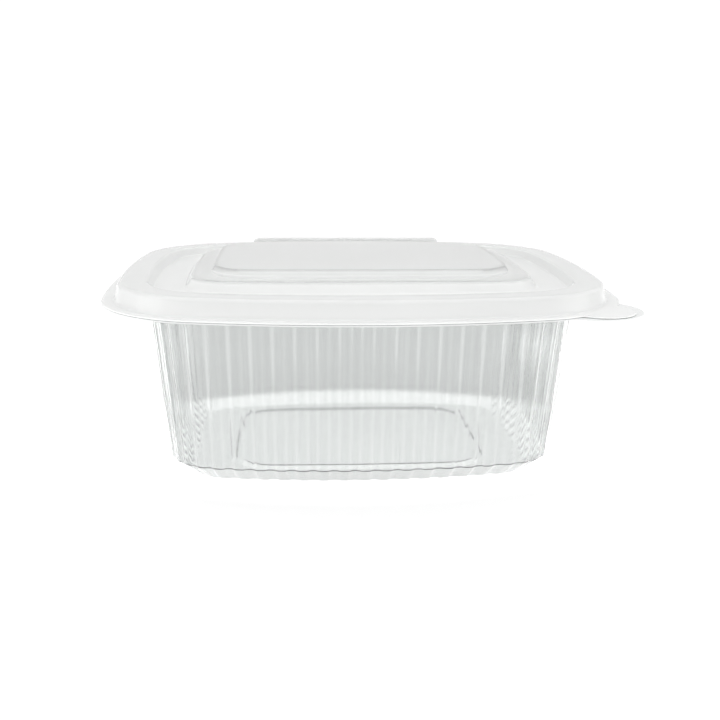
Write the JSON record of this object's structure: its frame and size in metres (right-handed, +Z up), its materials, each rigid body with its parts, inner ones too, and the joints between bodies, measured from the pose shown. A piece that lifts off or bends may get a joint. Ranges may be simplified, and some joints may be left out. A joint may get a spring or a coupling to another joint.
{
  "type": "takeaway meal container",
  "caption": "Clear plastic takeaway meal container: a ribbed tray with rounded corners and a hinged domed lid, shut, with a pull tab at one corner.",
  "frame": {"origin": "on the table, under the middle of the whole container with its tab and hinge", "axes": "+X along the long side to the right seen from the front, +Y to the back where the hinge is, +Z up"},
  "size_m": [0.1901, 0.1642, 0.076],
  "materials": {
    "clear_tray": "gloss",
    "clear_lid": "gloss"
  },
  "bodies": {
    "tray": {"tray": "clear_tray"},
    "lid": {"lid": "clear_lid"}
  },
  "joints": [
    {"name": "lid_hinge", "type": "hinge", "parent": "tray", "child": "lid", "pos_m": [0, 0.08105, 0.06435], "axis": [-1, 0, 0], "range_deg": [0, 180]}
  ]
}
